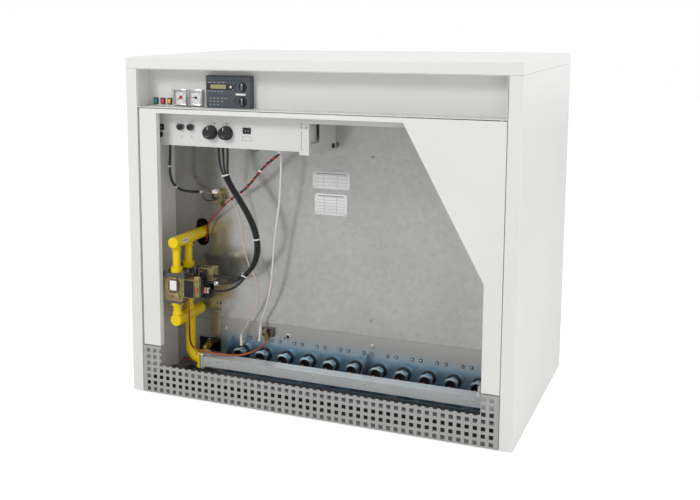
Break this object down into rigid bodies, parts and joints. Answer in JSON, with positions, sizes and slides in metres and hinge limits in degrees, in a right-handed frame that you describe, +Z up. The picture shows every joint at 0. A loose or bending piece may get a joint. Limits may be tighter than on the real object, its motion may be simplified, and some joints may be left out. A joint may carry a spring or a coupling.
{
  "type": "floor-standing gas boiler",
  "caption": "Floor-standing atmospheric gas boiler in a white casing with a cut-away hinged door, perforated plinth, recessed fascia, gas train and burner row.",
  "frame": {"origin": "on the floor, under the middle of the box that holds the whole part, its rear connections included", "axes": "+X towards the right side seen from the front, +Y from the front to the rear, +Z up"},
  "size_m": [1.17, 0.8, 1.03],
  "materials": {
    "white_enamel": "semi_gloss",
    "ivory_enamel": "semi_gloss",
    "galvanised_steel": "satin",
    "grey_paint": "satin",
    "bracket_paint": "satin",
    "zinc_steel": "satin",
    "gas_pipe_yellow": "gloss",
    "flange_steel": "satin",
    "manifold_steel": "satin",
    "valve_aluminium": "satin",
    "actuator_plastic": "matte",
    "gasket_fibre": "matte",
    "brass": "satin",
    "pilot_steel": "satin",
    "ceramic": "gloss",
    "black_plastic": "semi_gloss",
    "magnet_plastic": "matte",
    "cast_iron": "matte",
    "glass_wool": "matte",
    "black_steel_pipe": "satin",
    "copper_tube": "satin",
    "chrome_frame": "polished",
    "controller_plastic": "matte",
    "pointer_metal": "satin",
    "button_metal": "satin",
    "black_cable": "satin",
    "twisted_pair": "satin",
    "white_cable": "satin"
  },
  "bodies": {
    "boiler_body": {"left_side_panel": "white_enamel", "right_side_panel": "white_enamel", "top_cover": "ivory_enamel", "base_frame": "galvanised_steel", "front_frame": "white_enamel", "inner_front_panel": "galvanised_steel", "lower_left_plate": "galvanised_steel", "access_cover": "galvanised_steel", "rear_panel": "galvanised_steel", "fascia_panel": "ivory_enamel", "plinth_grille": "white_enamel", "hinge_pins": "zinc_steel", "door_magnets": "magnet_plastic", "upper_gas_header": "gas_pipe_yellow", "valve_flanges": "flange_steel", "front_gas_valve": "valve_aluminium", "rear_gas_valve": "valve_aluminium", "front_valve_actuator": "actuator_plastic", "rear_valve_actuator": "actuator_plastic", "lower_gas_header": "gas_pipe_yellow", "manifold_gasket": "gasket_fibre", "burner_manifold": "manifold_steel", "injectors": "brass", "burner_plate": "galvanised_steel", "burner_tray": "galvanised_steel", "burners": "zinc_steel", "pilot_burner": "pilot_steel", "electrodes": "ceramic", "drain_cock": "brass", "pressure_switch": "brass", "boiler_sections": "cast_iron", "tie_rods": "zinc_steel", "insulation_jacket": "glass_wool", "flue_hood": "galvanised_steel", "water_pipes": "black_steel_pipe", "pilot_tube": "copper_tube", "control_box": "grey_paint", "control_box_bracket": "bracket_paint", "fuse_holder": "black_plastic", "indicator_lamps": "black_plastic", "gauge_cases": "chrome_frame", "controller_housing": "controller_plastic", "main_harness": "black_cable", "pressure_switch_cable": "black_cable", "limiter_wires": "twisted_pair", "electrode_leads": "white_cable", "panel_screws": "zinc_steel"},
    "front_door": {"front_door": "white_enamel"},
    "drain_cock_handle": {"drain_cock_handle": "black_plastic"},
    "left_thermostat_knob": {"left_thermostat_knob": "black_plastic"},
    "right_thermostat_knob": {"right_thermostat_knob": "black_plastic"},
    "left_reset_button": {"left_reset_button": "black_plastic"},
    "right_reset_button": {"right_reset_button": "black_plastic"},
    "main_rocker": {"main_rocker": "black_plastic"},
    "test_rocker": {"test_rocker": "black_plastic"},
    "thermometer_pointer": {"thermometer_pointer": "pointer_metal"},
    "pressure_gauge_pointer": {"pressure_gauge_pointer": "pointer_metal"},
    "controller_upper_dial": {"controller_upper_dial": "black_plastic"},
    "controller_lower_dial": {"controller_lower_dial": "black_plastic"},
    "controller_button": {"controller_button": "button_metal"}
  },
  "joints": [
    {"name": "door_hinge", "type": "hinge", "parent": "boiler_body", "child": "front_door", "pos_m": [0.533, -0.395, 0.517], "axis": [0, 0, 1], "range_deg": [0, 105]},
    {"name": "drain_cock_lever", "type": "hinge", "parent": "boiler_body", "child": "drain_cock_handle", "pos_m": [-0.421, -0.205, 0.1254], "axis": [0, 0, 1], "range_deg": [-90, 0]},
    {"name": "left_thermostat", "type": "hinge", "parent": "boiler_body", "child": "left_thermostat_knob", "pos_m": [-0.329, -0.348, 0.811], "axis": [0, 1, 0], "range_deg": [0, 270]},
    {"name": "right_thermostat", "type": "hinge", "parent": "boiler_body", "child": "right_thermostat_knob", "pos_m": [-0.278, -0.348, 0.811], "axis": [0, 1, 0], "range_deg": [0, 270]},
    {"name": "left_reset", "type": "slide", "parent": "boiler_body", "child": "left_reset_button", "axis": [0, 1, 0], "range_m": [0, 0.003], "stiffness_N_per_m": 400, "springref_m": -0.002},
    {"name": "right_reset", "type": "slide", "parent": "boiler_body", "child": "right_reset_button", "axis": [0, 1, 0], "range_m": [0, 0.003], "stiffness_N_per_m": 400, "springref_m": -0.002},
    {"name": "main_switch", "type": "hinge", "parent": "boiler_body", "child": "main_rocker", "pos_m": [-0.501, -0.34725, 0.82], "axis": [0, 0, 1], "range_deg": [-16, 0]},
    {"name": "test_switch", "type": "hinge", "parent": "boiler_body", "child": "test_rocker", "pos_m": [-0.212, -0.34725, 0.82], "axis": [0, 0, 1], "range_deg": [-16, 0]},
    {"name": "thermometer_needle", "type": "hinge", "parent": "boiler_body", "child": "thermometer_pointer", "pos_m": [-0.437, -0.332, 0.91], "axis": [0, 1, 0], "range_deg": [-15, 255]},
    {"name": "pressure_needle", "type": "hinge", "parent": "boiler_body", "child": "pressure_gauge_pointer", "pos_m": [-0.386, -0.332, 0.91], "axis": [0, 1, 0], "range_deg": [-45, 225]},
    {"name": "controller_upper_setting", "type": "hinge", "parent": "boiler_body", "child": "controller_upper_dial", "pos_m": [-0.223, -0.349, 0.9455], "axis": [0, 1, 0], "range_deg": [-135, 135]},
    {"name": "controller_lower_setting", "type": "hinge", "parent": "boiler_body", "child": "controller_lower_dial", "pos_m": [-0.223, -0.349, 0.9035], "axis": [0, 1, 0], "range_deg": [-135, 135]},
    {"name": "controller_push", "type": "slide", "parent": "boiler_body", "child": "controller_button", "axis": [0, 1, 0], "range_m": [0, 0.0015], "stiffness_N_per_m": 600, "springref_m": -0.001}
  ]
}
